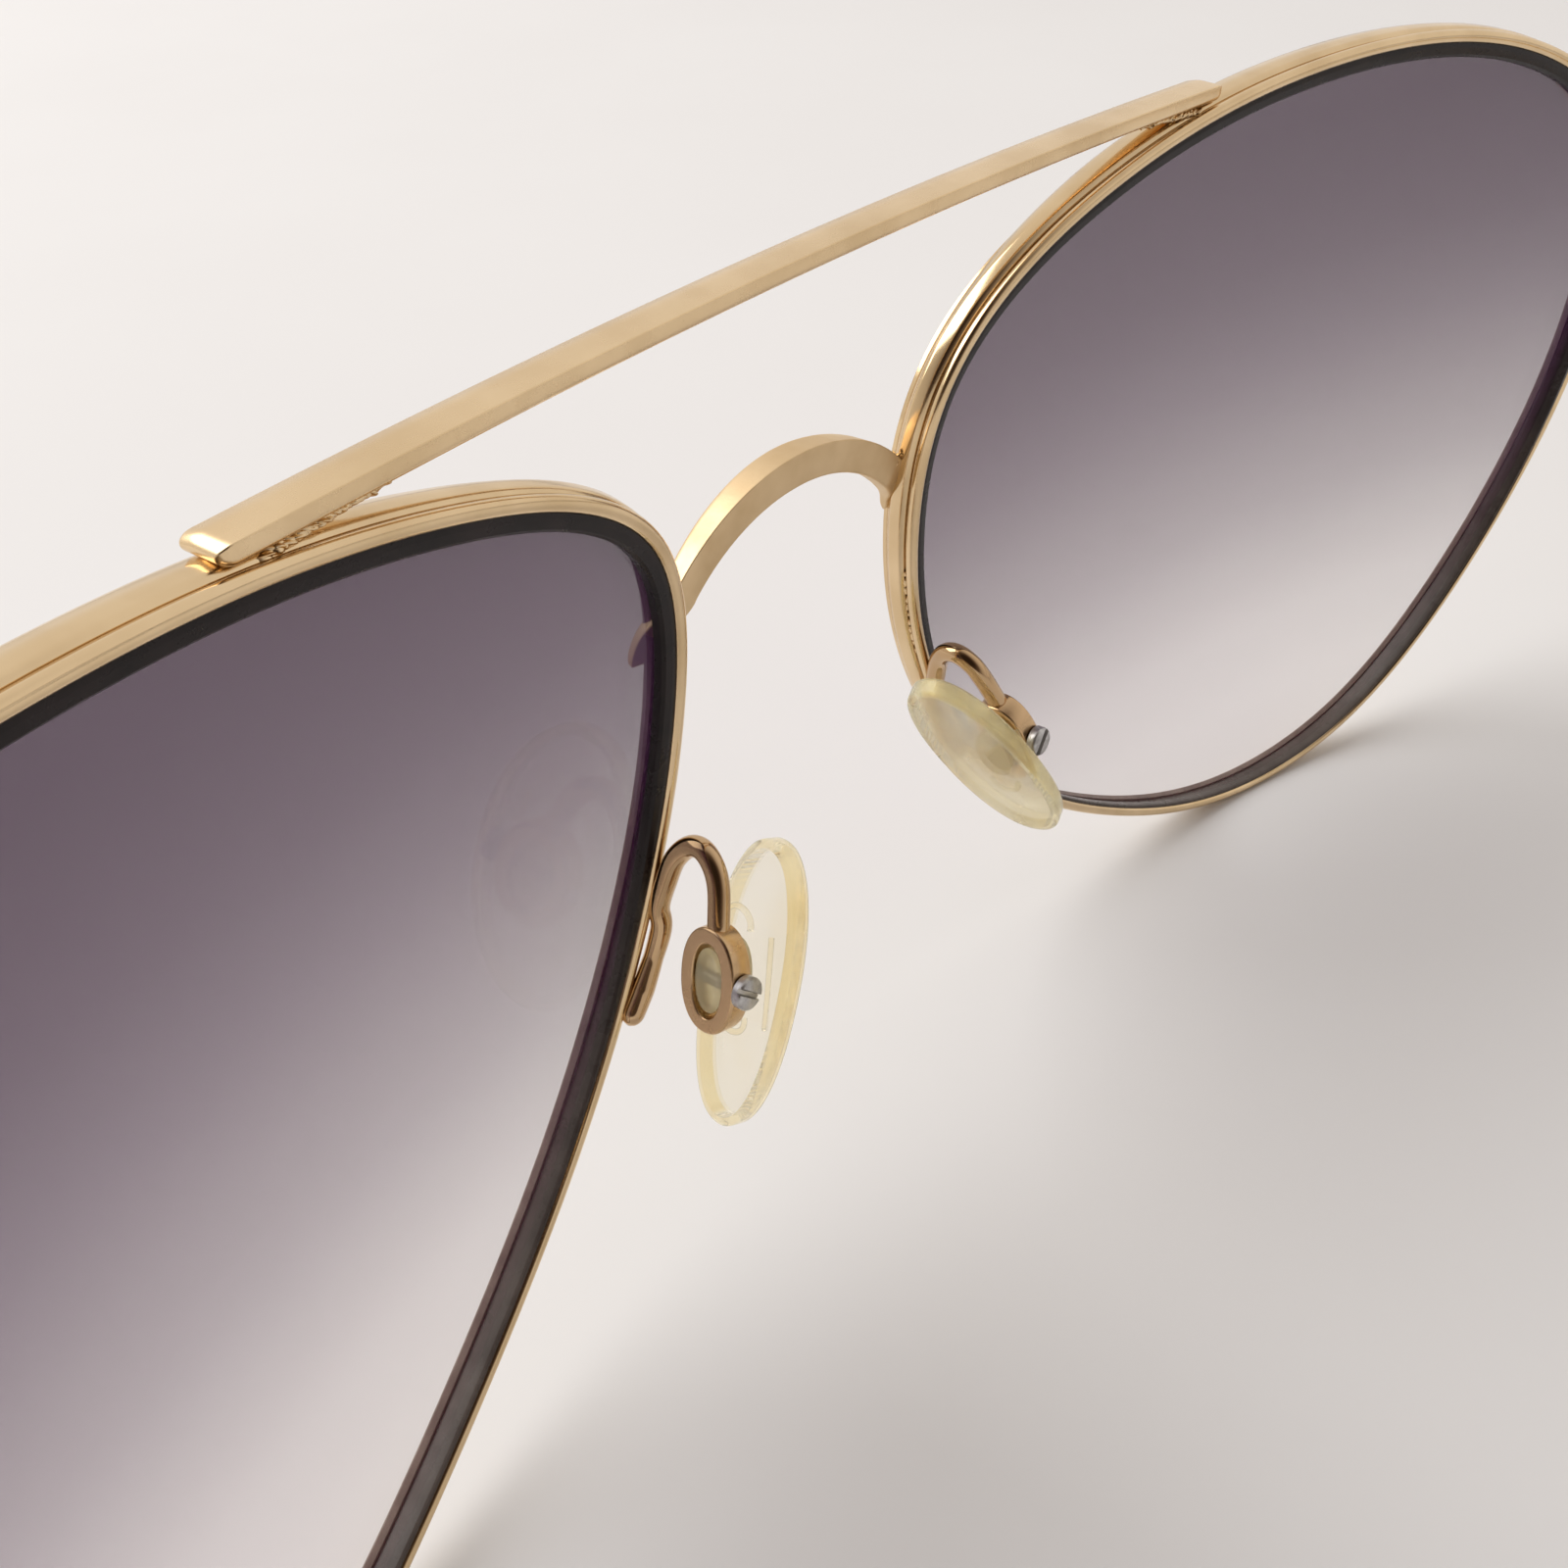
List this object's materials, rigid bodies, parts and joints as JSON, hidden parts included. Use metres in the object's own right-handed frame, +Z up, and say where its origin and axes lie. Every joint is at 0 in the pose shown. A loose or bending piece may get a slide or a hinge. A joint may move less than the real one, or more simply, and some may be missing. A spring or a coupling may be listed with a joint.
{
  "type": "aviator sunglasses",
  "caption": "Aviator sunglasses with a slim metal frame, flat brow bar, arched bridge, gradient lenses, rocking nose pads and folding temples.",
  "frame": {"origin": "on the floor under the middle of the open pair, with the bridge straight above the X = 0 plane", "axes": "+X towards the wearer's left, +Y back along the temples, +Z up; the lenses face -Y"},
  "size_m": [0.144, 0.1384, 0.0507],
  "materials": {
    "gold": "satin, bright where curved",
    "black_liner": "gloss",
    "lens_tint": "clear tint, darker at the top",
    "clear_pad": "translucent",
    "steel": "turned",
    "dark_tip": "gloss"
  },
  "bodies": {
    "front": {"brow_bar": "gold", "bridge": "gold", "eyewire_L": "gold", "eyewire_R": "gold", "rim_band_L": "gold", "rim_band_R": "gold", "rim_liner_L": "black_liner", "rim_liner_R": "black_liner", "lens_L": "lens_tint", "lens_R": "lens_tint", "pad_arm_L": "gold", "pad_arm_R": "gold", "pad_box_L": "gold", "pad_box_R": "gold", "pad_screw_L": "steel", "pad_screw_R": "steel", "end_piece_L": "gold", "end_piece_R": "gold", "rim_lock_L": "gold", "rim_lock_R": "gold", "rim_screw_L": "steel", "rim_screw_R": "steel", "hinge_front_L": "gold", "hinge_front_R": "gold", "hinge_screw_L": "steel", "hinge_screw_R": "steel"},
    "temple_left": {"temple_L": "gold", "temple_tip_L": "dark_tip", "hinge_temple_L": "gold"},
    "temple_right": {"temple_R": "gold", "temple_tip_R": "dark_tip", "hinge_temple_R": "gold"},
    "pad_left": {"nose_pad_L": "clear_pad"},
    "pad_right": {"nose_pad_R": "clear_pad"}
  },
  "joints": [
    {"name": "temple_left_fold", "type": "hinge", "parent": "front", "child": "temple_left", "pos_m": [0.06896, -0.04871, 0.03771], "axis": [0, 0, 1], "range_deg": [0, 90]},
    {"name": "temple_right_fold", "type": "hinge", "parent": "front", "child": "temple_right", "pos_m": [-0.06896, -0.04871, 0.03771], "axis": [0, 0, -1], "range_deg": [0, 84]},
    {"name": "pad_left_rock", "type": "hinge", "parent": "front", "child": "pad_left", "pos_m": [0.01124, -0.06244, 0.02235], "axis": [-0.0099, 0.9852, 0.171], "range_deg": [-6, 6]},
    {"name": "pad_right_rock", "type": "hinge", "parent": "front", "child": "pad_right", "pos_m": [-0.01124, -0.06244, 0.02235], "axis": [0.0099, 0.9852, 0.171], "range_deg": [-6, 6]}
  ]
}
